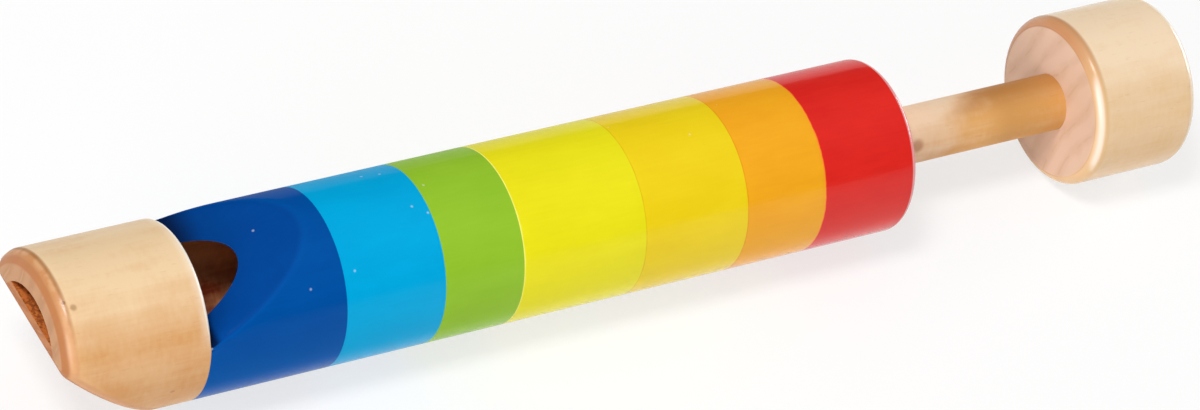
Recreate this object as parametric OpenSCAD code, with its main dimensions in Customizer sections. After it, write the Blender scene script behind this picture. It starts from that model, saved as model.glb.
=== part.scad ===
// Wooden slide whistle: a bored barrel with a fipple mouthpiece, and a slide with piston and pull knob.
// Lengths in millimetres. +X runs from the mouth to the knob along the common axis, +Z points up through
// the sound window. The origin lies on the axis at the middle of the plain round stretch of the barrel.

/* [Barrel] */
// Outer diameter of the painted barrel and of the mouthpiece
barrel_d = 30; // [26:0.5:36]
// Thickness of the wood from the bore to the outside
wall_t = 5; // [4:0.5:6]
// Length of the barrel from the mouthpiece joint to its open end
barrel_len = 135; // [110:1:180]
// Radius on the rim of the open end
tail_edge_r = 1.2; // [0.5:0.1:2]
// Thickness of the coloured lacquer
coat_t = 0.1; // [0.06:0.01:0.2]

/* [Sound window] */
// Depth of the window below the barrel's crown, at the mouthpiece's wall
window_depth = 10; // [8.6:0.1:12]
// Length of the ramp along the axis, from the wall to where it leaves the barrel
ramp_len = 20.5; // [14:0.5:24]
// Radius on the wall's rim along the window
wall_rim_r = 0.85; // [0.3:0.05:1.2]

/* [Mouthpiece] */
// Length of the mouthpiece from its front face to the joint
mouth_len = 25.3; // [22:0.1:32]
// Height of the front face, from its crown to the beak's cut
lip_h = 10.9; // [9:0.1:13]
// Uncut stretch left between the beak's cut and the joint, along the underside
beak_land = 1.1; // [1:0.1:4]
// Radius on all edges that the lips touch
mouth_edge_r = 2.8; // [1.5:0.1:3]

/* [Fipple block] */
// Height of the air slot between the block's flat and the bore's crown
windway_h = 3.4; // [1.5:0.1:4]
// Bevel on the block's upper inner edge, where the air leaves the slot
block_bevel = 0.8; // [0.3:0.1:1.5]
// Length of the block's tongue in the barrel's bore
tongue_len = 6; // [3:0.5:8]
// Depth of the tongue's top below the axis
tongue_drop = 3; // [1:0.5:6]

/* [Slide] */
// Diameter of the slide rod
rod_d = 10; // [7:0.5:12]
// Gap between the barrel's end and the knob, as the slide is drawn out at rest
drawn_out = 38; // [5:1:50]
// Diameter of the pull knob
knob_d = 30; // [24:0.5:40]
// Length of the pull knob
knob_len = 21; // [16:0.5:30]
// Radius on the knob's edges
knob_edge_r = 2; // [0.5:0.1:3]
// Depth of the rod's socket in the knob
knob_socket = 14; // [8:0.5:15]

/* [Piston] */
// Length of the piston
piston_len = 16; // [13:0.5:24]
// Width of the packing ring
packing_w = 5; // [3:0.5:7]
// Thickness of the packing ring from its bore to its rim
packing_t = 1.9; // [1:0.1:2.5]
// Depth of the rod's socket in the piston
piston_socket = 12; // [6:0.5:12]
// Distance from the joint to the piston's face with the slide pushed home
air_len_min = 24.5; // [24.5:0.5:35]

/* [End bush] */
// Length of the bush that guides the rod
bush_len = 8; // [5:0.5:14]
// Depth of the bush below the barrel's end face
bush_recess = 0.6; // [0.3:0.1:2]
// Bevel on the piston's edges and at both mouths of the bush
edge_bevel = 0.6; // [0.3:0.1:1]

/* [Fits] */
// Play all round the rod in its bush
rod_play = 0.08; // [0.03:0.01:0.1]
// Play all round the piston's wood in the bore
piston_play = 0.3; // [0.2:0.05:0.5]
// Play all round the packing ring in the bore and on the piston
packing_play = 0.03; // [0.02:0.01:0.05]
// Play at each side of the packing ring in its groove
groove_play = 0.15; // [0.1:0.05:0.3]

/* [Hidden] */
$fn = 96;

barrel_r = barrel_d / 2;
bore_r = barrel_r - wall_t;
rod_r = rod_d / 2;
knob_r = knob_d / 2;

// One overrun serves all cuts
over = 1;

// Where each lacquer band starts and the last one ends, as shares of the barrel's length
band_shares = [0, 0.182, 0.317, 0.426, 0.599, 0.7465, 0.8605, 1];

// Slope of the window's ramp, and the height of its foot above the axis
ramp_angle = atan(window_depth / ramp_len);
ramp_foot = barrel_r - window_depth;

// The beak's cut runs back from the front face to the land, from the lip's height to the underside
lip_rise = barrel_r - lip_h;
beak_slope = (mouth_len - beak_land) / (barrel_d - lip_h);

// The rounded head is a hull of balls round its rim, drawn a little too thick and trimmed to the barrel
rim_balls = 56;
ball_facets = 32;
trim = 0.06;
rim_r = barrel_r + trim - mouth_edge_r;
ball_front = mouth_edge_r - mouth_len;
corner_height = lip_rise + (mouth_edge_r * norm([1, beak_slope]) - mouth_edge_r) / beak_slope;
corner_angle = acos(corner_height / rim_r);

// Height of the block's flat above the axis
flat_height = bore_r - windway_h;

// The slide's stations, measured from the joint
piston_front = air_len_min + drawn_out;
piston_back = piston_front + piston_len;
knob_front = barrel_len + drawn_out;
rod_front = piston_back - piston_socket;
rod_back = knob_front + knob_socket;

// The packing sits in a groove in the middle of the piston, and the rod's socket ends behind it
packing_r = bore_r - packing_play;
groove_r = packing_r - packing_t - packing_play;
groove_w = packing_w + 2 * groove_play;
groove_front = piston_front + (piston_len - groove_w) / 2;

// From the joint to the middle of the barrel's plain round stretch, which is the origin
datum = (ramp_len + barrel_len - tail_edge_r) / 2;

// Puts what is drawn from the joint into the whistle's own frame
module seated() {
    translate([-datum, 0, 0]) children();
}

// Turns a profile of radius against distance from the joint about the axis
module turned() {
    rotate([0, 90, 0]) rotate_extrude() children();
}

// A profile's rectangle from one radius to another, between two distances from the joint
module stretch(inner, outer, from, to) {
    translate([inner, from]) square([outer - inner, to - from]);
}

// What a round edge takes off a profile's outer corner; side is 1 at its far end and -1 at its near end
module corner_waste(radius, at, edge, side) {
    translate([radius - edge, at - side * edge]) scale([1, side]) difference() {
        square(edge + over);
        circle(edge);
    }
}

// What a bevel takes off a corner, as a diamond about the corner
module bevel_waste(radius, at, bevel) {
    translate([radius, at]) polygon([[bevel, 0], [0, bevel], [-bevel, 0], [0, -bevel]]);
}

// Everything above a height, between two distances from the joint
module above(height, from, to) {
    translate([from, -barrel_r - over, height]) cube([to - from, barrel_d + 2 * over, barrel_d]);
}

// Everything above the window's ramp, lowered square to the ramp
module above_ramp(lowered) {
    translate([0, 0, ramp_foot]) rotate([0, -ramp_angle, 0])
        translate([-over, -barrel_r - over, -lowered])
            cube([ramp_len / cos(ramp_angle) + barrel_r, barrel_d + 2 * over, barrel_d]);
}

// Distance from the joint of the balls along the beak's cut, at a height
function beak_ball(height) =
    beak_slope * (lip_rise - height) + mouth_edge_r * norm([1, beak_slope]) - mouth_len;

// One ball of the head's rounded rim, at an angle from the crown
module rim_ball(angle) {
    height = rim_r * cos(angle);
    translate([max(ball_front, beak_ball(height)), rim_r * sin(angle), height])
        sphere(mouth_edge_r, $fn = ball_facets);
}

// The head's outer form with its beak, shared by the mouthpiece and the block that is sanded flush with it
module head_form() {
    intersection() {
        turned() stretch(0, barrel_r, -mouth_len, 0);
        hull() {
            for (i = [0 : rim_balls - 1]) rim_ball(360 * i / rim_balls);
            for (side = [-1, 1]) rim_ball(side * corner_angle);
            turned() stretch(0, barrel_r + trim, 0, over);
        }
    }
}

// The window wall's rounded rim, only where the wall stands free above the ramp
module wall_rim_waste() {
    intersection() {
        turned() corner_waste(barrel_r, 0, wall_rim_r, 1);
        above(ramp_foot, -wall_rim_r - over, over);
    }
}

module mouthpiece() {
    color("burlywood") seated() difference() {
        head_form();
        turned() stretch(0, bore_r, -mouth_len - over, over);
        wall_rim_waste();
    }
}

module fipple_block() {
    color("tan") seated() {
        difference() {
            intersection() {
                head_form();
                turned() stretch(0, bore_r, -mouth_len - over, 0);
            }
            above(flat_height, -mouth_len - over, over);
            translate([0, barrel_r, flat_height]) rotate([90, 0, 0])
                linear_extrude(barrel_d) bevel_waste(0, 0, block_bevel);
        }
        difference() {
            turned() stretch(0, bore_r, 0, tongue_len);
            above(-tongue_drop, -over, tongue_len + over);
        }
    }
}

// The barrel before it is bored, with its ramp and round tail, all its faces lowered by a depth
module barrel_form(lowered, start) {
    difference() {
        turned() difference() {
            stretch(0, barrel_r - lowered, start, barrel_len - lowered);
            translate([barrel_r - tail_edge_r, barrel_len - tail_edge_r]) difference() {
                square(tail_edge_r + over);
                circle(tail_edge_r - lowered);
            }
        }
        above_ramp(lowered);
    }
}

// The bore right through the barrel
module barrel_bore() {
    turned() stretch(0, bore_r, -over, barrel_len + over);
}

module barrel_tube() {
    color("burlywood") seated() difference() {
        barrel_form(coat_t, 0);
        barrel_bore();
    }
}

// One lacquer band: the film between the painted and the bare barrel, from one share to the next
module band(index) {
    from = band_shares[index] * barrel_len;
    to = band_shares[index + 1] * barrel_len;
    seated() difference() {
        intersection() {
            barrel_form(0, 0);
            turned() stretch(0, barrel_d, from, to);
        }
        barrel_form(coat_t, -over);
        barrel_bore();
    }
}

module dark_blue_band() {
    color([0, 0.33, 0.65]) band(0);
}

module sky_blue_band() {
    color([0, 0.65, 0.86]) band(1);
}

module green_band() {
    color([0.5, 0.78, 0.2]) band(2);
}

module yellow_band() {
    color([1, 0.93, 0]) band(3);
}

module golden_band() {
    color([1, 0.82, 0.1]) band(4);
}

module orange_band() {
    color([1, 0.6, 0.1]) band(5);
}

module red_band() {
    color([0.9, 0.1, 0.1]) band(6);
}

module end_bush() {
    front = barrel_len - bush_recess - bush_len;
    hole_r = rod_r + rod_play;
    color("tan") seated() turned() difference() {
        stretch(hole_r, bore_r, front, front + bush_len);
        bevel_waste(hole_r, front, edge_bevel);
        bevel_waste(hole_r, front + bush_len, edge_bevel);
    }
}

module slide_rod() {
    color("peru") seated() turned() difference() {
        stretch(0, rod_r, rod_front, rod_back);
        bevel_waste(rod_r, rod_front, edge_bevel);
        bevel_waste(rod_r, rod_back, edge_bevel);
    }
}

module piston() {
    land_r = bore_r - piston_play;
    color("tan") seated() turned() difference() {
        stretch(0, land_r, piston_front, piston_back);
        bevel_waste(land_r, piston_front, edge_bevel);
        bevel_waste(land_r, piston_back, edge_bevel);
        stretch(groove_r, land_r + over, groove_front, groove_front + groove_w);
        stretch(0, rod_r, rod_front, piston_back + over);
    }
}

module packing_ring() {
    front = groove_front + groove_play;
    color("dimgray") seated() turned() difference() {
        stretch(groove_r + packing_play, packing_r, front, front + packing_w);
        bevel_waste(packing_r, front, edge_bevel);
        bevel_waste(packing_r, front + packing_w, edge_bevel);
    }
}

module knob() {
    color("burlywood") seated() turned() difference() {
        stretch(0, knob_r, knob_front, knob_front + knob_len);
        corner_waste(knob_r, knob_front, knob_edge_r, -1);
        corner_waste(knob_r, knob_front + knob_len, knob_edge_r, 1);
        stretch(0, rod_r, knob_front - over, rod_back);
    }
}

mouthpiece();
fipple_block();
barrel_tube();
dark_blue_band();
sky_blue_band();
green_band();
yellow_band();
golden_band();
orange_band();
red_band();
end_bush();
slide_rod();
piston();
packing_ring();
knob();
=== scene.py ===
# Looks of a wooden slide whistle: fine meshes, procedural finishes, a pale floor and soft light.
# Lengths are millimetres times MM, in the row frame: +X from the mouth to the knob, +Z out of the window.
import math
from functools import reduce

import bmesh
import bpy
import numpy as np
from mathutils import Matrix, Vector


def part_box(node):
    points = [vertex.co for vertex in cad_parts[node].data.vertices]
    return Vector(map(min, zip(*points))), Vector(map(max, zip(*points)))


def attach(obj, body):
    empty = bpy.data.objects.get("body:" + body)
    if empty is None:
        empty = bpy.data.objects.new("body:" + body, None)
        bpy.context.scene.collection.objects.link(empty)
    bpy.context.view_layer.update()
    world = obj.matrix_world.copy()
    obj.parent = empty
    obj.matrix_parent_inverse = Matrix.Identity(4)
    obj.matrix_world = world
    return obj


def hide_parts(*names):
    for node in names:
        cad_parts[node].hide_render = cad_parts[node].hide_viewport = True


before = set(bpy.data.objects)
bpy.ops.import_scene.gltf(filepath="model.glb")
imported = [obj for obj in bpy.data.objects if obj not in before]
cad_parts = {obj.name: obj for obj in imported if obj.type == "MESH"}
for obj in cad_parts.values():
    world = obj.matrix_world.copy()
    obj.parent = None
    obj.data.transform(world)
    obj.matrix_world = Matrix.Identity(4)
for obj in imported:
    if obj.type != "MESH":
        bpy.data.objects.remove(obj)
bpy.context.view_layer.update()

MM = 0.001

# Stations along the axis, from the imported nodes
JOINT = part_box("mouthpiece")[1].x
BARREL_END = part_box("red_band")[1].x
KNOB_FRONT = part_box("knob")[0].x
KNOB_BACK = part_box("knob")[1].x
ROD_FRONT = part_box("slide_rod")[0].x
ROD_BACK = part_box("slide_rod")[1].x
PISTON_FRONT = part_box("piston")[0].x
PISTON_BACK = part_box("piston")[1].x
PACKING_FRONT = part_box("packing_ring")[0].x
PACKING_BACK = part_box("packing_ring")[1].x
BUSH_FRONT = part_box("end_bush")[0].x
BUSH_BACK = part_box("end_bush")[1].x

# Radii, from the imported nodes
BARREL_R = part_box("sky_blue_band")[1].y
BARE_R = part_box("barrel_tube")[1].y
BORE_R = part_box("end_bush")[1].y
KNOB_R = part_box("knob")[1].y
ROD_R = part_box("slide_rod")[1].y
PISTON_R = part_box("piston")[1].y
PACKING_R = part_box("packing_ring")[1].y
COAT_T = BARREL_R - BARE_R

# Sound window: its ramp, the rounding of the ramp's upper edge and the rim of its wall. The rounding takes
# no more than a share of the slope below the edge and of the cut ahead of it.
RAMP_LEN = 20.5 * MM
WINDOW_DEPTH = 10 * MM
RAMP_FOOT = BARREL_R - WINDOW_DEPTH
RAMP_SLOPE = WINDOW_DEPTH / RAMP_LEN
BROW_REACH = 1.8 * MM
BROW_SLOPE_SHARE = 0.4
BROW_CUT_SHARE = 0.8
WALL_RIM_R = 0.85 * MM
THIN_RIM_R = 0.03 * MM
THINNING_SHARE = 0.35

# Mouthpiece and its block. The head's rounding is worked out too thick by the trim, and ends at the side.
MOUTH_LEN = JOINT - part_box("mouthpiece")[0].x
LIP_H = 10.9 * MM
BEAK_LAND = 1.1 * MM
MOUTH_EDGE_R = 2.8 * MM
TRIM = 0.06 * MM
BLOCK_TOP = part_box("fipple_block")[1].z
TONGUE_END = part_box("fipple_block")[1].x
TONGUE_TOP = -3 * MM
BLOCK_BEVEL = 0.8 * MM
RIM_R = BARREL_R + TRIM - MOUTH_EDGE_R
LIP_RISE = BARREL_R - LIP_H
BEAK_SLOPE = (MOUTH_LEN - BEAK_LAND) / (2 * BARREL_R - LIP_H)
BEAK_SETBACK = MOUTH_EDGE_R * math.hypot(1, BEAK_SLOPE)

# Edges and fits
TAIL_EDGE_R = 1.2 * MM
KNOB_EDGE_R = 2 * MM
EDGE_BEVEL = 0.6 * MM
ROD_PLAY = 0.08 * MM
PISTON_SOCKET = 12 * MM
PACKING_T = 1.9 * MM
PACKING_PLAY = 0.03 * MM
GROOVE_PLAY = 0.15 * MM

# Fineness of the meshes
ROUND_STEPS = 240
ARC_STEPS = 10
KNOB_ARC_STEPS = 14
PACKING_ARC_STEPS = 6
RAMP_STEPS = 12
BORE_STEPS = 40
TUBE_SIDE_STEPS = 20
HEAD_SIDE_STEPS = 12
KNOB_SIDE_STEPS = 16
ROD_STEPS = 60
FACE_STEPS = 8
LIP_STEPS = 16
RIM_SAMPLES = 720
BOW_STEPS = 96
FLAT_STEPS = 24
CAP_STEPS = 24
COVE_STEPS = 12
SHARP_ANGLE = math.radians(32)
MERGE = 0.0002 * MM

# The camera stands in front of and above the mouth end, a little rolled
VIEW_ELEVATION = math.radians(42.38)
VIEW_AZIMUTH = math.radians(49.11)
VIEW_ROLL = math.radians(17.03)
VIEW_DISTANCE = 957.9 * MM
VIEW_AIM = Vector((3.10, -0.77, 1.59)) * MM
VIEW_LENS = 172.95
VIEW_SENSOR = 36
CLIP_START = 10 * MM
CLIP_END = 30

# Soft surroundings: the side that the light comes from, how far towards it the world begins to brighten,
# and its strength away from that side and towards it
KEY_SIDE = Vector((-0.44, -0.12, 0.89))
WORLD_RISE_FROM = 0.1
WORLD_LOW = 0.1
WORLD_HIGH = 0.55

# Flat lamps: place, width and height in metres, and power in watts
LAMPS = {
    "key": (KEY_SIDE * 2, 0.5, 0.5, 24.5),
    "rim": ((1.26, 0.1, 0.26), 0.7, 0.3, 8),
    "front": ((-1.08, -0.59, 0.26), 0.6, 0.5, 6.3),
}

# Floor: the rings of its mesh and the sweep at its far edge, in metres, the sweep's first and last angle,
# and the share in which it shows as plain white
FLOOR_RINGS = (0.4, 1.5, 3.0, 5.0)
COVE_R = 0.7
COVE_ANGLES = (0.1, 1.5)
FLOOR_WHITE_SHARE = 0.72


# Colours

def srgb(red, green, blue):
    """A colour as it reads on a screen, from 0 to 255, in the linear light that shaders take."""
    shares = [value / 255 for value in (red, green, blue)]
    linear = [s / 12.92 if s <= 0.04045 else ((s + 0.055) / 1.055) ** 2.4 for s in shares]
    return (*linear, 1)


WHITE = (1, 1, 1, 1)
PORE = srgb(196, 158, 120)
SCORCH = srgb(112, 50, 16)

# Base and worn tone of each lacquer
COATS = {
    "dark_blue": (srgb(1, 81, 161), srgb(1, 74, 153)),
    "sky_blue": (srgb(1, 170, 223), srgb(1, 160, 214)),
    "green": (srgb(150, 196, 50), srgb(140, 188, 42)),
    "yellow": (srgb(240, 230, 30), srgb(230, 220, 22)),
    "golden": (srgb(243, 214, 30), srgb(236, 204, 18)),
    "orange": (srgb(248, 176, 34), srgb(240, 162, 26)),
    "red": (srgb(230, 44, 34), srgb(214, 32, 28)),
}

# Painted light from below: the tone of a lacquer's lower side, where it isn't the base
UNDERLIT_TONES = {"dark_blue": srgb(1, 92, 174)}

# Half width in millimetres and colour of the line at the start of some coats
SEAMS = {
    "yellow": (0.3, srgb(248, 242, 120)),
    "golden": (0.25, srgb(226, 190, 16)),
    "orange": (0.25, srgb(232, 152, 16)),
    "red": (0.3, srgb(250, 140, 40)),
}

# Roughness of the coats that are glossier than the surface under them
POLISH_ROUGHNESS = 0.24
GLOSS_ROUGHNESS = 0.15

# Depth of the fine relief of wood, lacquer and felt
GRAIN_DEPTH = 0.015 * MM
BRUSH_DEPTH = 0.012 * MM
FIBRE_DEPTH = 0.12 * MM


# Places of marks, in millimetres of the row frame at rest

# How far the painted shadow in the corner under the window's wall reaches, on its near and far side
SHADOW_NEAR_REACH = 2.2
SHADOW_FAR_REACH = 9

# Pale chips in the lacquer, by their middles, and their reach
CHIPS = (
    (-77.1, -14.1, 5), (-75.3, -13.1, 7.3), (-63, 2, 11.9), (-58.8, -11.1, 10.1), (-50.5, -10.2, 11),
    (-41, 6.8, 13.4), (-38, 6.2, 13.7), (-37, -2.9, 14.7), (-34.8, -4.6, 14.3), (-33, 0.7, 15),
)
CHIP_REACH = 0.32

# Dark pits near the mouth, by their middles, reach and strength
HEAD_PITS = (((-100.6, -5.4, 13.9), 0.45, 0.8), ((-99.3, -6.48, 13.53), 0.75, 0.5))

# Lines along X, by Y and Z: the piths that growth rings run round, with the rings' spacing
HEAD_RINGS = ((58, 15), 3.6)
KNOB_RINGS = ((-62, -15), 4.2)
ROD_RINGS = ((9, 40), 2.6)
INNER_RING_STEP = 2.8

# Lines along X, by Y and Z, towards which head and knob deepen in painted shade, and the rod reddens in
# painted shade and a painted reflection of the knob
HEAD_SHADE_LINE = (-24, 2)
KNOB_SHADE_LINE = (-24, 0)
ROD_SHADE_LINE = (6, 6)

# Directions across the axis: far and up, and near and up, where the knob's highlight is painted
FAR_UP = (0, 0.8, 0.6)
HIGHLIGHT_SIDE = (0, -0.92, 0.39)

# The rod's amber stretch of painted bounce light from the knob, the painted shadow of the barrel's end on it,
# and the slant along which it deepens in painted shade
ROD_BOUNCE_STRETCH = (81, 99)
ROD_END_SHADOW = ((64.6, -4.5, 2), 1.7)
ROD_SLANT = (1, -1, -0.8)


# Camera and light

def make_camera():
    """A camera at the photograph's viewing angle."""
    flat = math.cos(VIEW_ELEVATION)
    rise = -math.sin(VIEW_ELEVATION)
    ahead = Vector((flat * math.cos(VIEW_AZIMUTH), flat * math.sin(VIEW_AZIMUTH), rise))
    level = Vector((ahead.y, -ahead.x, 0)).normalized()
    right = level * math.cos(VIEW_ROLL) + level.cross(ahead) * math.sin(VIEW_ROLL)
    turn = Matrix((right, right.cross(ahead), -ahead)).transposed().to_4x4()
    data = bpy.data.cameras.new("camera")
    data.sensor_width = VIEW_SENSOR
    data.lens = VIEW_LENS
    data.clip_start = CLIP_START
    data.clip_end = CLIP_END
    camera = bpy.data.objects.new("camera", data)
    camera.matrix_world = Matrix.Translation(VIEW_AIM - ahead * VIEW_DISTANCE) @ turn
    bpy.context.scene.collection.objects.link(camera)
    bpy.context.scene.camera = camera


def make_lamp(name, place, width, height, power):
    """A soft flat lamp that looks at the whistle, its height upright."""
    data = bpy.data.lights.new(name, "AREA")
    data.shape = "RECTANGLE"
    data.size = width
    data.size_y = height
    data.energy = power
    lamp = bpy.data.objects.new(name, data)
    lamp.location = place
    lamp.rotation_mode = "QUATERNION"
    lamp.rotation_quaternion = (-Vector(place)).to_track_quat("-Z", "Y")
    bpy.context.scene.collection.objects.link(lamp)


def make_world():
    """Soft surroundings, brightest high up on the key lamp's side."""
    world = bpy.data.worlds.new("studio")
    bpy.context.scene.world = world
    world.use_nodes = True
    tree = world.node_tree
    tree.nodes.clear()
    where = tree.nodes.new("ShaderNodeTexCoord")
    toward = tree.nodes.new("ShaderNodeVectorMath")
    rise = tree.nodes.new("ShaderNodeMapRange")
    light = tree.nodes.new("ShaderNodeBackground")
    out = tree.nodes.new("ShaderNodeOutputWorld")
    toward.operation = "DOT_PRODUCT"
    toward.inputs[1].default_value = KEY_SIDE
    rise.interpolation_type = "SMOOTHSTEP"
    rise.inputs["From Min"].default_value = WORLD_RISE_FROM
    rise.inputs["From Max"].default_value = 1.0
    rise.inputs["To Min"].default_value = WORLD_LOW
    rise.inputs["To Max"].default_value = WORLD_HIGH
    tree.links.new(where.outputs["Generated"], toward.inputs[0])
    tree.links.new(toward.outputs["Value"], rise.inputs["Value"])
    tree.links.new(rise.outputs[0], light.inputs["Strength"])
    tree.links.new(light.outputs[0], out.inputs["Surface"])


# Node materials

class Finish:
    """A node material in the making: each call adds nodes and returns an output."""

    def __init__(self, name):
        self.material = bpy.data.materials.new(name)
        self.material.use_nodes = True
        self.tree = self.material.node_tree
        self.tree.nodes.clear()

    def feed(self, socket, value):
        """Links an output to a socket, or sets the socket's own number or colour."""
        if isinstance(value, bpy.types.NodeSocket):
            self.tree.links.new(value, socket)
        else:
            socket.default_value = value

    def add(self, kind, inputs, output=0, **settings):
        """A node of a kind, with its settings and inputs, as one of its outputs."""
        node = self.tree.nodes.new("ShaderNode" + kind)
        for name, value in settings.items():
            setattr(node, name, value)
        for key, value in inputs.items():
            self.feed(node.inputs[key], value)
        return node.outputs[output]

    def math(self, operation, *values):
        """One operation on one to three values."""
        return self.add("Math", dict(enumerate(values)), operation=operation)

    def joined(self, operation, values):
        """Some values joined into one, such as their product or the greatest of them."""
        return reduce(lambda first, second: self.math(operation, first, second), values)

    def times(self, *values):
        """The product of some values."""
        return self.joined("MULTIPLY", values)

    def place(self):
        """The point on the piece, in millimetres of the row frame at rest."""
        point = self.add("TexCoord", {}, "Object")
        return self.add("VectorMath", {0: point, "Scale": 1 / MM}, operation="SCALE")

    def facing(self):
        """The piece's own normal, which moves with it."""
        return self.add("TexCoord", {}, "Normal")

    def stretched(self, point, x, y, z):
        """A point with its three parts scaled apart."""
        return self.add("VectorMath", {0: point, 1: (x, y, z)}, operation="MULTIPLY")

    def part(self, vector, axis):
        """One part of a vector, named X, Y or Z."""
        return self.add("SeparateXYZ", {0: vector}, axis)

    def along(self, vector, direction):
        """How far a vector reaches in a direction."""
        return self.add("VectorMath", {0: vector, 1: direction}, "Value", operation="DOT_PRODUCT")

    def beyond(self, point, station):
        """How many millimetres a point lies beyond a station of the axis."""
        return self.math("SUBTRACT", self.part(point, "X"), station / MM)

    def away(self, point, y=0, z=0):
        """Distance of a point from a line along X."""
        shifted = self.add("VectorMath", {0: point, 1: (0, -y, -z)}, operation="ADD")
        flat = self.stretched(shifted, 0, 1, 1)
        return self.add("VectorMath", {0: flat}, "Value", operation="LENGTH")

    def beneath(self, point, planes):
        """Millimetres under the nearest of some faces, and how squarely the surface faces one of them."""
        depths = [self.math("SUBTRACT", level / MM, self.along(point, outward)) for outward, level in planes]
        squares = [self.along(self.facing(), outward) for outward, level in planes]
        return self.joined("MINIMUM", depths), self.joined("MAXIMUM", squares)

    def noise(self, point, scale, detail=3, roughness=0.5):
        """Smooth noise about 0.5."""
        inputs = {"Vector": point, "Scale": scale, "Detail": detail, "Roughness": roughness}
        return self.add("TexNoise", inputs)

    def fade(self, value, low, high):
        """0 up to low and 1 from high on, or the other way round where high is the lower."""
        ends = {"From Min": min(low, high), "From Max": max(low, high)}
        levels = {"To Min": float(low > high), "To Max": float(low <= high)}
        return self.add("MapRange", {"Value": value, **ends, **levels}, interpolation_type="SMOOTHSTEP")

    def between(self, value, low, high, soft):
        """1 between two levels and 0 outside them, with soft ends."""
        rise = self.fade(value, low - soft, low + soft)
        return self.times(rise, self.fade(value, high + soft, high - soft))

    def swung(self, start, *parts):
        """A value that is swung up and down by parts, each a value about 0.5 and its weight."""
        total = start
        for value, weight in parts:
            total = self.math("MULTIPLY_ADD", value, weight, self.math("SUBTRACT", total, 0.5 * weight))
        return total

    def rings(self, point, pith, spacing):
        """Growth rings round a line along X, as a wave from 0 to 1."""
        wander = self.noise(self.stretched(point, 0.06, 1, 1), 0.09, 2, 0.4)
        turn = self.math("MULTIPLY_ADD", wander, 1.1 * spacing, self.away(point, *pith))
        wave = self.math("SINE", self.times(turn, 2 * math.pi / spacing))
        return self.math("MULTIPLY_ADD", wave, 0.5, 0.5)

    def specks(self, point, scale, size, kept_share):
        """Round specks, one in each cell of a loose grid, of which a share is kept."""
        cells = self.tree.nodes.new("ShaderNodeTexVoronoi")
        self.feed(cells.inputs["Vector"], point)
        self.feed(cells.inputs["Scale"], scale)
        near = self.fade(cells.outputs["Distance"], size, size * 0.5)
        chosen = self.fade(self.part(cells.outputs["Color"], "X"), kept_share + 0.01, kept_share)
        return self.times(near, chosen)

    def spot(self, point, middle, reach):
        """1 at the middle of a spot and 0 outside its reach."""
        off = self.add("VectorMath", {0: point, 1: middle}, "Value", operation="DISTANCE")
        return self.fade(off, reach, reach * 0.35)

    def mix(self, share, first, second, blend="MIX"):
        """Two colours blended by a share."""
        return self.add("Mix", {0: share, 6: first, 7: second}, 2, data_type="RGBA", blend_type=blend)

    def over(self, colour, tone, *shares):
        """A colour with a tone laid over it, as thickly as the product of some shares."""
        return self.mix(self.times(*shares), colour, tone)

    def stained(self, colour, stain, *shares):
        """A colour darkened by a stain that lets it through, as strongly as the product of some shares."""
        return self.over(colour, self.mix(1, colour, stain, "MULTIPLY"), *shares)

    def bump(self, height, depth):
        """A bumped normal, from a height of 0 to 1 and its depth."""
        return self.add("Bump", {"Height": height, "Distance": depth, "Strength": 1.0})

    def surface(self, colour, roughness, normal, **levels):
        """Ends the tree in a principled shader, with further levels by the names of its sockets."""
        inputs = {"Base Color": colour, "Roughness": roughness, "Normal": normal}
        for name, value in levels.items():
            inputs[name.replace("_", " ")] = value
        return self.ended(self.add("BsdfPrincipled", inputs))

    def coated(self, colour, roughness, normal, weight, coat_roughness):
        """Ends the tree in a surface whose only gloss is that of a clear coat over it."""
        coat = {"Coat_Weight": weight, "Coat_Roughness": coat_roughness, "Coat_Normal": normal}
        return self.surface(colour, roughness, normal, Specular_IOR_Level=0.0, **coat)

    def ended(self, shader):
        """The material, with its last shader linked to the output."""
        out = self.tree.nodes.new("ShaderNodeOutputMaterial")
        self.tree.links.new(shader, out.inputs["Surface"])
        return self.material


# Wood

def grained(made, point, pale, deep, lean, rings):
    """The colour of fine smooth wood along X, by its lean towards the deeper tone; and its grain's height."""
    streaks = made.noise(made.stretched(point, 0.05, 1, 1), 1.5, 3, 0.55)
    patches = made.noise(made.stretched(point, 0.6, 1, 1), 0.17, 2, 0.45)
    mottle = made.noise(made.stretched(point, 1.5, 0.7, 0.7), 0.8, 2)
    tone = made.swung(lean, (patches, 0.7), (streaks, 0.3), (mottle, 0.3), (rings, 0.1))
    dashes = made.fade(made.noise(made.stretched(point, 0.16, 1, 1), 2.6, 2, 0.4), 0.66, 0.74)
    colour = made.stained(made.mix(tone, pale, deep), PORE, dashes, 0.12)
    knots = made.specks(made.stretched(point, 0.6, 1, 1), 0.2, 0.07, 0.12)
    height = made.swung(0.5, (streaks, 0.7), (mottle, 0.2), (dashes, -0.3))
    return made.stained(colour, PORE, knots, 0.45), height


def end_grain(made, point, colour, end, stripe, rings):
    """Puts end grain on faces across X: soft bands of growth with thin darker lines."""
    cloud = made.swung(rings, (made.noise(point, 0.3, 3), 1.2))
    bands = made.mix(made.fade(cloud, 0.1, 1.1), end, stripe)
    fine = made.fade(rings, 0.95, 0.995)
    ragged = made.fade(made.noise(point, 0.35, 2), 0.48, 0.6)
    bands = made.over(bands, PORE, fine, ragged, 0.3)
    across = made.math("ABSOLUTE", made.part(made.facing(), "X"))
    return made.over(colour, bands, made.fade(across, 0.45, 0.95))


def painted_shade_lean(made, point, line, most_share):
    """A lean towards a wood's deeper tone as painted shade, which grows up to a share towards a line along X.
    """
    return made.times(made.fade(made.away(point, *line), 25, 10), most_share)


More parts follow.
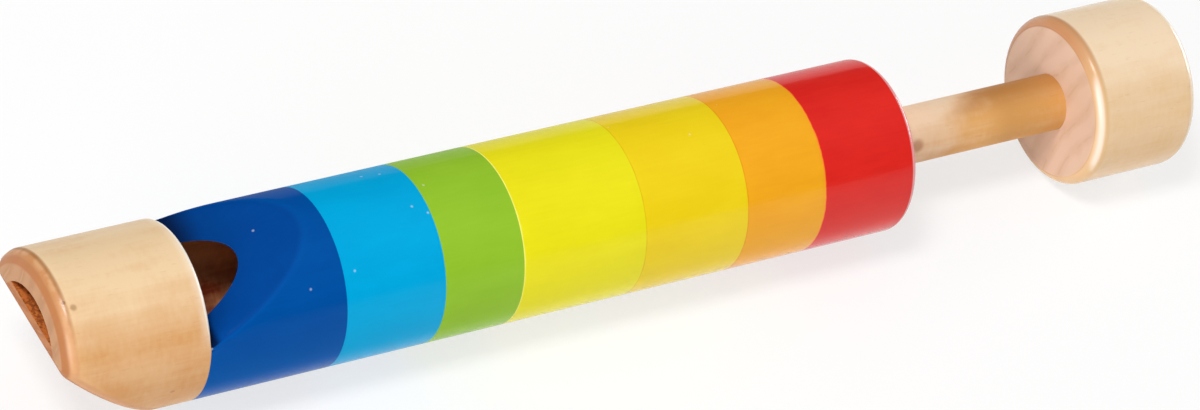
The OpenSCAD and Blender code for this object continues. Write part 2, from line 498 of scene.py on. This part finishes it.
def oiled(made, colour, height, roughness, weight=0.5, coat_roughness=None):
    """Ends a wood in a thin satin coat, through which its grain is felt."""
    shine = made.math("MULTIPLY_ADD", height, 0.1, roughness - 0.05)
    relief = made.bump(height, GRAIN_DEPTH)
    return made.coated(colour, shine, relief, weight, coat_roughness or roughness)


def polished(made, colour, height, roughness, share):
    """Ends a wood in a glossier satin coat, which grows from half to full with the share of its polish."""
    weight = made.math("MULTIPLY_ADD", share, 0.5, 0.5)
    return oiled(made, colour, height, roughness, weight, POLISH_ROUGHNESS)


def browned_mouth(made, point, colour):
    """Browns the head round the mouth and the beak, with a darker hem above, and the inside of its bore."""
    tip = JOINT - MOUTH_LEN
    slant = Vector((-1, 0, -BEAK_SLOPE)).normalized()
    faces = (((-1, 0, 0), -tip), (slant, slant.dot((tip, 0, LIP_RISE))))
    depth, flatness = made.beneath(point, faces)
    bent = made.fade(flatness, 0.995, 0.96)
    above = made.fade(made.along(point, FAR_UP), -5, 10)
    rough = made.math("MULTIPLY_ADD", made.fade(made.noise(point, 0.5, 2), 0.36, 0.6), 0.2, 0.65)
    ridge = made.mix(above, srgb(208, 152, 108), srgb(186, 120, 68))
    colour = made.over(colour, ridge, made.between(depth, 0.7, 2.1, 0.3), rough)
    colour = made.over(colour, srgb(150, 96, 44), made.between(depth, 1.6, 2.2, 0.25), above, 0.6)
    colour = made.over(colour, srgb(172, 108, 62), made.fade(depth, 1.1, 0.5), bent, 0.85)
    # Darker and blotched inside the bore behind the mouth
    inside = made.fade(made.away(point), BORE_R / MM + 0.15, BORE_R / MM + 0.05)
    blotched = made.fade(made.noise(made.stretched(point, 0.5, 1, 1), 1.3, 4, 0.7), 0.44, 0.58)
    return made.over(colour, made.mix(blotched, srgb(200, 104, 38), srgb(140, 66, 20)), inside, bent)


def head_wood():
    """The head's pale beech: deeper in painted shade low down on its near side, browned and pitted at the
    mouth, with a painted highlight along the window's rim.
    """
    made = Finish("head_beech")
    point = made.place()
    rings = made.rings(point, *HEAD_RINGS)
    # Painted shade: the head deepens towards its near lower side
    lean = painted_shade_lean(made, point, HEAD_SHADE_LINE, 0.85)
    colour, height = grained(made, point, srgb(237, 206, 164), srgb(215, 156, 97), lean, rings)
    colour = end_grain(made, point, colour, srgb(184, 136, 96), srgb(176, 127, 88), rings)
    colour = browned_mouth(made, point, colour)
    for middle, reach, strength in HEAD_PITS:
        colour = made.over(colour, srgb(136, 88, 50), made.spot(point, middle, reach), strength)
    # Painted highlight: the window wall's rim and the strip just ahead of the joint are paled towards white,
    # high up
    high = made.fade(made.part(point, "Z"), 4, 9)
    joint_highlight = made.times(made.fade(made.beyond(point, JOINT), -2.2, -0.4), 0.38)
    rim = made.times(made.between(made.part(made.facing(), "X"), 0.12, 0.92, 0.08), 0.9)
    colour = made.over(colour, srgb(255, 246, 230), made.math("MAXIMUM", joint_highlight, rim), high)
    return polished(made, colour, height, 0.38, made.times(rim, high))


def knob_wood():
    """The knob's paler beech, deeper in painted shade on its near side: its front edge browned, with a faint
    line, and painted highlights on the front edge's near side and on its far rounding.
    """
    made = Finish("knob_beech")
    point = made.place()
    rings = made.rings(point, *KNOB_RINGS)
    # Painted shade: the knob deepens towards its near lower side
    lean = painted_shade_lean(made, point, KNOB_SHADE_LINE, 0.7)
    colour, height = grained(made, point, srgb(245, 219, 186), srgb(232, 188, 130), lean, rings)
    colour = end_grain(made, point, colour, srgb(219, 185, 160), srgb(212, 176, 150), rings)
    depth, flatness = made.beneath(point, (((-1, 0, 0), -KNOB_FRONT),))
    bent = made.fade(flatness, 0.998, 0.975)
    above = made.fade(made.along(point, FAR_UP), -6, 12)
    edge = made.mix(above, srgb(226, 186, 134), srgb(190, 126, 74))
    colour = made.over(colour, edge, made.fade(depth, 2.3, 1.5), bent, 0.85)
    # Painted highlight: the near side of the front edge is paled towards white
    near = made.fade(made.along(point, HIGHLIGHT_SIDE), 11, 13)
    colour = made.over(colour, srgb(255, 240, 226), made.between(depth, 0.3, 1.1, 0.3), near, 0.7)
    broken = made.fade(made.noise(point, 0.12, 1), 0.35, 0.65)
    colour = made.over(colour, srgb(160, 112, 78), made.between(flatness, 0.965, 0.985, 0.01), broken, 0.45)
    # Painted highlight: the far rounding is paled towards white
    far = made.between(made.part(made.facing(), "X"), 0.25, 0.9, 0.15)
    colour = made.over(colour, srgb(252, 240, 222), far, 0.6)
    glossy = made.times(bent, made.fade(made.part(point, "Z"), 12.8, 11.2))
    return polished(made, colour, height, 0.36, made.math("MAXIMUM", far, glossy))


def rod_wood():
    """The rod's blotchy hardwood: pale beside the barrel with a painted shadow of its end, and deepening to
    amber and red by the knob in painted shade and painted bounce light from it.
    """
    made = Finish("rod_wood")
    point = made.place()
    rings = made.rings(point, *ROD_RINGS)
    wander = made.noise(made.stretched(point, 0.5, 1, 1), 0.22, 2)
    station = made.math("MULTIPLY_ADD", wander, 16, made.along(point, ROD_SLANT))
    # Painted shade: the rod deepens towards the knob
    lean = made.fade(station, 70, 90)
    colour, height = grained(made, point, srgb(255, 225, 191), srgb(234, 176, 108), lean, rings)
    # Painted shade and reflection: the upper far side reddens by the knob
    side = made.fade(made.away(point, *ROD_SHADE_LINE), 10, 5.5)
    colour = made.over(colour, srgb(184, 120, 74), made.fade(station, 77, 88), side, 0.75)
    # Painted shadow of the barrel's end
    colour = made.over(colour, srgb(176, 116, 80), made.spot(point, *ROD_END_SHADOW), 0.6)
    # Painted bounce light: an amber stretch by the knob
    colour = made.over(colour, srgb(192, 134, 62), made.between(made.part(point, "X"), *ROD_BOUNCE_STRETCH, 4), 0.5)
    colour = end_grain(made, point, colour, srgb(206, 160, 118), srgb(190, 140, 96), rings)
    return oiled(made, colour, height, 0.42)


def inner_wood(name, pale, deep, end, pith, lean=0.35, scorch_share=0):
    """Bare wood of an inner piece, deepened by painted shade low down at the window, and scorched in spots if
    given a share.
    """
    made = Finish(name)
    point = made.place()
    rings = made.rings(point, pith, INNER_RING_STEP)
    # Painted shade: low down near the window the wood leans to its deeper tone
    bore_shade = made.times(made.fade(made.beyond(point, JOINT), 30, 10), made.fade(made.part(point, "Z"), -1, -7))
    colour, height = grained(made, point, pale, deep, made.math("MULTIPLY_ADD", bore_shade, 0.8, lean), rings)
    if scorch_share:
        ragged = made.fade(made.noise(point, 0.9, 4, 0.7), 0.46, 0.6)
        colour = made.over(colour, SCORCH, ragged, scorch_share)
    colour = end_grain(made, point, colour, end, made.stained(end, PORE, 0.4), rings)
    return oiled(made, colour, height, 0.55)


# Lacquer and felt

def painted_window_shade(made, point, colour):
    """Paints a little shade on the window's ramp, and a dark painted shadow in its corner under the wall."""
    # Painted shade: the ramp, which faces the mouth, is darkened a little
    ramp = made.fade(made.part(made.facing(), "X"), -0.15, -0.35)
    colour = made.stained(colour, srgb(206, 218, 230), ramp)
    # Painted shadow: the corner under the window's wall goes dark, reaching further on the far side
    far = made.fade(made.part(point, "Y"), -10, 9)
    reach = made.math("MULTIPLY_ADD", far, SHADOW_FAR_REACH - SHADOW_NEAR_REACH, SHADOW_NEAR_REACH)
    gap = made.math("DIVIDE", made.beyond(point, JOINT), reach)
    return made.over(colour, srgb(5, 16, 46), ramp, made.fade(gap, 1.0, 0.4), 0.88)


def seamed(made, point, colour, station, width, tone):
    """Draws the thin uneven line where two coats meet at a station."""
    off = made.swung(made.beyond(point, station), (made.noise(point, 0.6, 2), 0.3))
    return made.over(colour, tone, made.fade(made.math("ABSOLUTE", off), width, width * 0.3))


def lacquer(name, base, worn, underlit_tone, seams, chips):
    """Gloss lacquer: cloudy and brushed, with seams and chips, and a painted highlight on the barrel's
    rounded end.

    Its gloss is weakest at the window and grows towards the tail and underneath.
    """
    made = Finish(name)
    point = made.place()
    clouds = made.noise(made.stretched(point, 0.45, 1, 1), 0.2, 3, 0.5)
    brushed = made.noise(made.stretched(point, 0.08, 1, 1), 1.6, 3, 0.6)
    tone = made.swung(0.5, (clouds, 1.3), (brushed, 0.6))
    # Painted light: the lower side takes a lighter tone
    colour = made.mix(made.fade(made.part(point, "Z"), 5, -5), made.mix(tone, base, worn), underlit_tone)
    for seam in seams:
        colour = seamed(made, point, colour, *seam)
    colour = painted_window_shade(made, point, colour)
    pale = made.mix(0.6, base, WHITE)
    bare = [made.specks(point, 0.24, 0.06, 0.08)] + [made.spot(point, middle, CHIP_REACH) for middle in chips]
    colour = made.over(colour, pale, made.joined("MAXIMUM", bare), 0.4)
    # Painted highlight: the barrel's rounded end is paled towards white; the same mask makes its coat full
    # there
    tail = made.between(made.part(made.facing(), "X"), 0.12, 0.95, 0.05)
    colour = made.over(colour, pale, tail, 0.5)
    thick = made.math("MULTIPLY_ADD", made.fade(made.part(point, "X"), -75, 50), 0.5, 0.1)
    run = made.math("MULTIPLY_ADD", made.fade(made.part(point, "Z"), -2, -8), 0.4, thick)
    shine = made.math("MULTIPLY_ADD", brushed, 0.08, 0.11)
    relief = made.bump(tone, BRUSH_DEPTH)
    return made.coated(colour, shine, relief, made.math("MAXIMUM", tail, run), GLOSS_ROUGHNESS)


def felt(name, colour):
    """Pressed felt: short matted fibres."""
    made = Finish(name)
    point = made.place()
    fibres = made.noise(point, 4.5, 6, 0.75)
    cloud = made.noise(point, 0.8, 2)
    tone = made.math("MULTIPLY_ADD", fibres, 0.7, made.times(cloud, 0.3))
    shaded = made.stained(colour, srgb(150, 150, 150), made.fade(tone, 0.7, 0.35))
    return made.surface(shaded, 0.95, made.bump(fibres, FIBRE_DEPTH), Sheen_Weight=0.3)


def block_wood():
    """The block's wood, scorched in spots."""
    end = srgb(180, 120, 78)
    return inner_wood("block_wood", srgb(206, 122, 58), srgb(184, 94, 36), end, (20, 50), scorch_share=0.75)


def barrel_wood():
    """The bored barrel's wood, which darkens most in the painted shade low down at the window."""
    end = srgb(214, 150, 110)
    return inner_wood("barrel_wood", srgb(255, 194, 134), srgb(122, 46, 18), end, (-38, 30), lean=0.1)


def bush_wood():
    """The end bush's wood."""
    end = srgb(206, 158, 112)
    return inner_wood("bush_wood", srgb(214, 166, 120), srgb(190, 140, 92), end, (-20, 30))


def piston_wood():
    """The piston's wood."""
    end = srgb(198, 150, 104)
    return inner_wood("piston_wood", srgb(205, 158, 112), srgb(184, 134, 90), end, (24, 30))


# Meshes

def as_object(name, shape):
    """A smooth object in the scene, from a shape that is done."""
    data = bpy.data.meshes.new(name)
    shape.to_mesh(data)
    shape.free()
    data.polygons.foreach_set("use_smooth", [True] * len(data.polygons))
    solid = bpy.data.objects.new(name, data)
    bpy.context.scene.collection.objects.link(solid)
    return solid


def make_mesh(name, loops):
    """A closed mesh from loops of points, each loop closed and the last joined to the first."""
    shape = bmesh.new()
    verts = [[shape.verts.new(point) for point in loop] for loop in np.asarray(loops, float)]
    for here, there in zip(verts, verts[1:] + verts[:1]):
        for j in range(len(here)):
            k = (j + 1) % len(here)
            shape.faces.new([here[j], here[k], there[k], there[j]])
    bmesh.ops.remove_doubles(shape, verts=shape.verts, dist=MERGE)
    bmesh.ops.recalc_face_normals(shape, faces=shape.faces)
    piece = as_object(name, shape)
    piece.data.set_sharp_from_angle(angle=SHARP_ANGLE)
    return piece


def turns():
    """The angles round the axis from the crown, evenly spaced."""
    return np.linspace(0, 2 * math.pi, ROUND_STEPS, endpoint=False)


def ring_point(x, radius, angle):
    """A point at a distance from the axis, at an angle from the crown."""
    return (x, radius * math.sin(angle), radius * math.cos(angle))


def swept(name, profile_at):
    """A round piece whose profile of stations and radii changes with the angle from the crown."""
    return make_mesh(name, [[ring_point(x, r, angle) for x, r in profile_at(angle)] for angle in turns()])


def lathe(name, profile):
    """A turned piece, from its profile of stations and radii."""
    return swept(name, lambda angle: profile)


def line(start, end, steps=8):
    """Points of a straight stretch of a profile, without its end."""
    start = np.array(start)
    reach = np.array(end) - start
    return [tuple(start + reach * i / steps) for i in range(steps)]


def through(corners, steps):
    """Points from corner to corner, each stretch in its own number of steps, without the last corner."""
    points = []
    for start, end, count in zip(corners, corners[1:], steps):
        points += line(start, end, count)
    return points


def arc(x, r, radius, start, end, steps=ARC_STEPS):
    """Points of a round stretch of a profile, by its angles from the +X direction in degrees."""
    angles = [math.radians(start + (end - start) * i / steps) for i in range(steps + 1)]
    return [(x + radius * math.cos(a), r + radius * math.sin(a)) for a in angles]


def dress(piece, body, slot, material, *nodes):
    """Gives a piece its finish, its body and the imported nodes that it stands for."""
    piece.data.materials.append(material)
    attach(piece, body)
    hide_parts(*nodes)


# Mouthpiece

def ball_reach(away):
    """How far a ball of the mouth's edge reaches ahead of its middle, at a distance to its side."""
    return np.where(away < MOUTH_EDGE_R, np.sqrt(np.maximum(MOUTH_EDGE_R ** 2 - away ** 2, 0)), -np.inf)


def beak_ball(height):
    """Distance from the joint of the balls along the beak's cut, at a height."""
    return BEAK_SLOPE * (LIP_RISE - height) + BEAK_SETBACK - MOUTH_LEN


def head_front(y, z):
    """Distance from the joint of the head's rounded front, at points of its cross-section."""
    ball_front = MOUTH_EDGE_R - MOUTH_LEN
    ridge = LIP_RISE + (BEAK_SETBACK - MOUTH_EDGE_R) / BEAK_SLOPE
    lift = MOUTH_EDGE_R * BEAK_SLOPE / math.hypot(1, BEAK_SLOPE)
    on_face = (np.hypot(y, z) <= RIM_R) & (z >= ridge)
    on_slope = (np.hypot(y, z + lift) <= RIM_R) & (z + lift <= ridge)
    face = np.where(on_face, -MOUTH_LEN, np.inf)
    slope = np.where(on_slope, BEAK_SLOPE * (LIP_RISE - z) - MOUTH_LEN, np.inf)
    bend = np.where(np.hypot(y, ridge) <= RIM_R, ball_front - ball_reach(np.abs(z - ridge)), np.inf)
    angles = np.linspace(0, 2 * math.pi, RIM_SAMPLES, endpoint=False)
    rim_y = RIM_R * np.sin(angles)
    rim_z = RIM_R * np.cos(angles)
    rim_x = np.maximum(ball_front, beak_ball(rim_z))
    side = np.hypot(y[..., None] - rim_y, z[..., None] - rim_z)
    rim = (rim_x - ball_reach(side)).min(-1)
    return np.minimum.reduce([face, slope, bend, rim])


def wall_rim(angle):
    """Radius of the window wall's rim, which thins out where the wall sinks to the ramp."""
    reach = math.acos(RAMP_FOOT / BARREL_R)
    off = min(angle, 2 * math.pi - angle)
    share = min(1, max(0, (reach - off) / (THINNING_SHARE * reach)))
    return THIN_RIM_R + (WALL_RIM_R - THIN_RIM_R) * math.sqrt(share)


def head_radii():
    """Radii across the mouth's face, close together on its rounded edge."""
    widest = math.asin((BARREL_R - RIM_R) / MOUTH_EDGE_R)
    face = list(np.linspace(BORE_R, RIM_R, FACE_STEPS, endpoint=False))
    return face + [RIM_R + MOUTH_EDGE_R * math.sin(widest * i / LIP_STEPS) for i in range(LIP_STEPS + 1)]


def head_profile(angle):
    """The head's bore, rounded front, side and window wall, at an angle."""
    radii = np.array(head_radii())
    fronts = JOINT + head_front(radii * math.sin(angle), radii * math.cos(angle))
    rim = wall_rim(angle)
    profile = line((JOINT, BORE_R), (fronts[0], BORE_R))
    profile += list(zip(fronts, radii))[:-1]
    profile += line((fronts[-1], BARREL_R), (JOINT - rim, BARREL_R), HEAD_SIDE_STEPS)
    profile += arc(JOINT - rim, BARREL_R - rim, rim, 90, 0)
    return profile + line((JOINT, BARREL_R - rim), (JOINT, BORE_R), 4)[1:]


def make_mouthpiece():
    """The bored head with its beak, its rounded edges and the window wall's rim."""
    return swept("head", head_profile)


def block_outline():
    """The block's outline across the axis: round below and flat on top."""
    edge = math.acos(BLOCK_TOP / BORE_R)
    angles = np.linspace(edge, 2 * math.pi - edge, BOW_STEPS + 1)
    half = BORE_R * math.sin(edge)
    bow = [(BORE_R * math.sin(a), BORE_R * math.cos(a)) for a in angles]
    top = [(-half + 2 * half * i / FLAT_STEPS, BLOCK_TOP) for i in range(1, FLAT_STEPS)]
    return np.array(bow + top)


def cross_section(station, side, height):
    """A loop of points across the axis, at a station."""
    return np.column_stack((np.full(len(side), station), side, height))


def make_block():
    """The plug that leaves the air slot above it, sanded flush with the head's front, and its tongue."""
    outline = block_outline()
    middle = np.array((0, (BLOCK_TOP - BORE_R) / 2))
    loops = []
    for share in np.linspace(0, 1, CAP_STEPS + 1):
        across = middle + (outline - middle) * share
        ahead = JOINT + head_front(across[:, 0], across[:, 1])
        loops.append(np.column_stack((ahead, across)))
    side, height = outline.T
    half = math.sqrt(BORE_R ** 2 - TONGUE_TOP ** 2)
    tongue_side = np.where(height > TONGUE_TOP, np.clip(side, -half, half), side)
    tongue_height = np.minimum(height, TONGUE_TOP)
    loops.append(cross_section(JOINT - BLOCK_BEVEL, side, height))
    loops.append(cross_section(JOINT, side, np.minimum(height, BLOCK_TOP - BLOCK_BEVEL)))
    loops.append(cross_section(JOINT, tongue_side, tongue_height))
    loops.append(cross_section(TONGUE_END, tongue_side, tongue_height))
    heart = np.array((TONGUE_END, 0, (TONGUE_TOP - BORE_R) / 2))
    loops.append(np.tile(heart, (len(outline), 1)))
    return make_mesh("block", loops)


# Barrel and its coats

def ramp_cut(radius, angle, lowered=0):
    """Distance from the joint at which the ramp, lowered square to itself, cuts a line of the barrel."""
    drop = lowered * math.hypot(1, RAMP_SLOPE)
    return max(0, (radius * math.cos(angle) - RAMP_FOOT + drop) / RAMP_SLOPE)


def ramp_inner(angle):
    """The least radius at which the ramp's surface is there, at an angle."""
    height = math.cos(angle)
    if height <= RAMP_FOOT / BARE_R:
        return BARE_R
    return min(BARE_R, max(BORE_R, RAMP_FOOT / height))


def ramp_brow(outer, angle, lowered=0):
    """Points over the ramp's rounded upper edge, from the barrel's side down to the ramp."""
    inner = ramp_inner(angle)
    corner = np.array((JOINT + ramp_cut(outer, angle, lowered), outer))
    foot = np.array((JOINT + ramp_cut(inner, angle, lowered), inner))
    slope_len = np.linalg.norm(foot - corner)
    cut_len = ramp_cut(outer, angle, lowered)
    reach = min(BROW_REACH, BROW_SLOPE_SHARE * slope_len, BROW_CUT_SHARE * cut_len)
    start = corner + (reach, 0)
    low = corner + (foot - corner) * (reach / slope_len if slope_len else 0)
    shares = np.linspace(0, 1, ARC_STEPS + 1)
    return [tuple(start * (1 - u) ** 2 + corner * 2 * u * (1 - u) + low * u ** 2) for u in shares]


def ramp_line(start, end, angle, lowered=0):
    """Points down or up the ramp between two radii, with both ends."""
    radii = np.linspace(start, end, RAMP_STEPS + 1)
    return [(JOINT + ramp_cut(r, angle, lowered), r) for r in radii]


def make_ramp_coat(end):
    """The lacquer film of the first band, round the barrel and down the window's ramp."""

    def profile_at(angle):
        inner = ramp_inner(angle)
        outside = ramp_brow(BARREL_R, angle)
        inside = ramp_brow(BARE_R, angle, COAT_T)[::-1]
        profile = line((end, BARREL_R), outside[0]) + outside
        profile += ramp_line(outside[-1][1], inner, angle)[1:]
        profile += ramp_line(inner, inside[0][1], angle, COAT_T)[:-1]
        return profile + inside + line(inside[-1], (end, BARE_R))[1:] + [(end, BARE_R)]

    return swept("dark_blue_coat", profile_at)


def make_coat(name, start, end):
    """The lacquer film of one band."""
    corners = [(start, BARREL_R), (end, BARREL_R), (end, BARE_R), (start, BARE_R)]
    return lathe(name, through(corners, (8, 1, 8)) + corners[-1:])


def make_end_coat(start):
    """The last band's film, over the barrel's rounded end and across its face."""
    corner = BARREL_END - TAIL_EDGE_R
    ring = BARREL_R - TAIL_EDGE_R
    bare_end = BARREL_END - COAT_T
    profile = line((start, BARREL_R), (corner, BARREL_R)) + arc(corner, ring, TAIL_EDGE_R, 90, 0)
    profile += line((BARREL_END, ring), (BARREL_END, BORE_R), 6)[1:] + [(BARREL_END, BORE_R)]
    profile += line((bare_end, BORE_R), (bare_end, ring), 6)
    profile += arc(corner, ring, TAIL_EDGE_R - COAT_T, 0, 90)
    profile += line((corner, BARE_R), (start, BARE_R))[1:] + [(start, BARE_R)]
    return lathe("red_coat", profile)


def tube_profile(angle):
    """The barrel's side, rounded end, bore and ramp, at an angle."""
    corner = BARREL_END - TAIL_EDGE_R
    ring = BARREL_R - TAIL_EDGE_R
    bare_end = BARREL_END - COAT_T
    brow = ramp_brow(BARE_R, angle, COAT_T)[::-1]
    lip = JOINT + ramp_cut(BORE_R, angle, COAT_T)
    profile = line(brow[-1], (corner, BARE_R), TUBE_SIDE_STEPS)
    profile += arc(corner, ring, TAIL_EDGE_R - COAT_T, 90, 0)
    profile += line((bare_end, ring), (bare_end, BORE_R), 4)[1:]
    profile += line((bare_end, BORE_R), (lip, BORE_R), BORE_STEPS)
    return profile + ramp_line(BORE_R, brow[0][1], angle, COAT_T)[:-1] + brow[:-1]


def make_tube():
    """The bored barrel under its lacquer, with the bare ramp and the rounded end."""
    return swept("tube", tube_profile)


def make_bush():
    """The ring in the open end that guides the rod, bevelled at both mouths."""
    hole = ROD_R + ROD_PLAY
    mouth = hole + EDGE_BEVEL
    corners = [
        (BUSH_FRONT + EDGE_BEVEL, hole), (BUSH_BACK - EDGE_BEVEL, hole), (BUSH_BACK, mouth),
        (BUSH_BACK, BORE_R), (BUSH_FRONT, BORE_R), (BUSH_FRONT, mouth), (BUSH_FRONT + EDGE_BEVEL, hole),
    ]
    return lathe("bush", through(corners, (4, 3, 5, 4, 5, 3)))


# Slide

def make_rod():
    """The slide's round rod, bevelled at both ends."""
    shoulder = ROD_R - EDGE_BEVEL
    corners = [
        (ROD_FRONT, 0), (ROD_FRONT, shoulder), (ROD_FRONT + EDGE_BEVEL, ROD_R),
        (ROD_BACK - EDGE_BEVEL, ROD_R), (ROD_BACK, shoulder), (ROD_BACK, 0),
    ]
    return lathe("rod", through(corners, (3, 3, ROD_STEPS, 3, 3)) + corners[-1:])


def make_piston():
    """The stopper on the rod's inner end, with the groove for its packing and the rod's socket."""
    near = PACKING_FRONT - GROOVE_PLAY
    far = PACKING_BACK + GROOVE_PLAY
    floor = PACKING_R - PACKING_T - PACKING_PLAY
    socket = PISTON_BACK - PISTON_SOCKET
    shoulder = PISTON_R - EDGE_BEVEL
    corners = [
        (PISTON_FRONT, 0), (PISTON_FRONT, shoulder), (PISTON_FRONT + EDGE_BEVEL, PISTON_R), (near, PISTON_R),
        (near, floor), (far, floor), (far, PISTON_R), (PISTON_BACK - EDGE_BEVEL, PISTON_R),
        (PISTON_BACK, shoulder), (PISTON_BACK, ROD_R), (socket, ROD_R), (socket, 0),
    ]
    return lathe("stopper", through(corners, (6, 3, 4, 2, 3, 2, 4, 3, 4, 4, 3)) + corners[-1:])


def make_packing():
    """The felt ring in the piston's groove, worn round at its rim."""
    inner = PACKING_R - PACKING_T
    shoulder = PACKING_R - EDGE_BEVEL
    front = PACKING_FRONT + EDGE_BEVEL
    back = PACKING_BACK - EDGE_BEVEL
    profile = line((PACKING_FRONT, inner), (PACKING_FRONT, shoulder), 3)
    profile += arc(front, shoulder, EDGE_BEVEL, 180, 90, PACKING_ARC_STEPS)
    profile += line((front, PACKING_R), (back, PACKING_R), 4)[1:]
    profile += arc(back, shoulder, EDGE_BEVEL, 90, 0, PACKING_ARC_STEPS)
    profile += line((PACKING_BACK, shoulder), (PACKING_BACK, inner), 3)[1:]
    profile += line((PACKING_BACK, inner), (PACKING_FRONT, inner), 3)
    return lathe("packing", profile)


def make_knob():
    """The pull knob, with rounded edges and the rod's socket."""
    shoulder = KNOB_R - KNOB_EDGE_R
    front = KNOB_FRONT + KNOB_EDGE_R
    back = KNOB_BACK - KNOB_EDGE_R
    corners = [(ROD_BACK, 0), (ROD_BACK, ROD_R), (KNOB_FRONT, ROD_R), (KNOB_FRONT, shoulder)]
    profile = through(corners, (3, 4, 8))
    profile += arc(front, shoulder, KNOB_EDGE_R, 180, 90, KNOB_ARC_STEPS)
    profile += line((front, KNOB_R), (back, KNOB_R), KNOB_SIDE_STEPS)[1:]
    profile += arc(back, shoulder, KNOB_EDGE_R, 90, 0, KNOB_ARC_STEPS)
    profile += line((KNOB_BACK, shoulder), (KNOB_BACK, 0), 10)[1:] + [(KNOB_BACK, 0)]
    return lathe("pull", profile)


# Floor

def floor_finish():
    """Pale studio floor, which keeps the whistle's shadow and shows near white."""
    made = Finish("pale_floor")
    cloud = made.noise(made.place(), 0.01, 3)
    colour = made.mix(cloud, srgb(247, 247, 247), srgb(250, 250, 250))
    shaded = made.add("BsdfDiffuse", {"Color": colour})
    white = made.add("Emission", {"Strength": 1.0})
    kinds = ("Is Camera Ray", "Is Glossy Ray", "Is Transmission Ray")
    rays = [made.add("LightPath", {}, kind) for kind in kinds]
    share = made.times(made.joined("MAXIMUM", rays), FLOOR_WHITE_SHARE)
    return made.ended(made.add("MixShader", {0: share, 1: shaded, 2: white}))


def make_floor():
    """A round floor whose far edge sweeps up a little, so that level views end on it."""
    level = -BARREL_R
    profile = [(radius, level) for radius in FLOOR_RINGS]
    for a in np.linspace(*COVE_ANGLES, COVE_STEPS):
        profile.append((FLOOR_RINGS[-1] + COVE_R * math.sin(a), level + COVE_R * (1 - math.cos(a))))
    shape = bmesh.new()
    rows = [[shape.verts.new((r * math.cos(a), r * math.sin(a), z)) for a in turns()] for r, z in profile]
    middle = shape.verts.new((0, 0, level))
    for i in range(ROUND_STEPS):
        k = (i + 1) % ROUND_STEPS
        shape.faces.new([middle, rows[0][i], rows[0][k]])
        for near, far in zip(rows, rows[1:]):
            shape.faces.new([near[i], far[i], far[k], near[k]])
    floor = as_object("floor", shape)
    floor.data.materials.append(floor_finish())


make_camera()
make_world()
for lamp_name, lamp in LAMPS.items():
    make_lamp(lamp_name, *lamp)
make_floor()

dress(make_mouthpiece(), "barrel", "bare_beech", head_wood(), "mouthpiece")
dress(make_block(), "barrel", "block_wood", block_wood(), "fipple_block")
dress(make_tube(), "barrel", "barrel_wood", barrel_wood(), "barrel_tube")
dress(make_bush(), "barrel", "bush_wood", bush_wood(), "end_bush")
dress(make_rod(), "slide", "rod_wood", rod_wood(), "slide_rod")
dress(make_piston(), "slide", "piston_wood", piston_wood(), "piston")
dress(make_packing(), "packing", "packing_felt", felt("packing_felt", srgb(120, 116, 112)), "packing_ring")
dress(make_knob(), "slide", "bare_beech", knob_wood(), "knob")

for colour_name, (base, worn) in COATS.items():
    low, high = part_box(colour_name + "_band")
    if colour_name == "dark_blue":
        coat = make_ramp_coat(high.x)
    elif colour_name == "red":
        coat = make_end_coat(low.x)
    else:
        coat = make_coat(colour_name + "_coat", low.x, high.x)
    seams = [(low.x, *SEAMS[colour_name])] if colour_name in SEAMS else []
    chips = [chip for chip in CHIPS if low.x <= chip[0] * MM <= high.x]
    underlit_tone = UNDERLIT_TONES.get(colour_name, base)
    finish = lacquer(colour_name + "_lacquer", base, worn, underlit_tone, seams, chips)
    dress(coat, "barrel", colour_name + "_lacquer", finish, colour_name + "_band")

bpy.context.scene.view_settings.view_transform = "Standard"
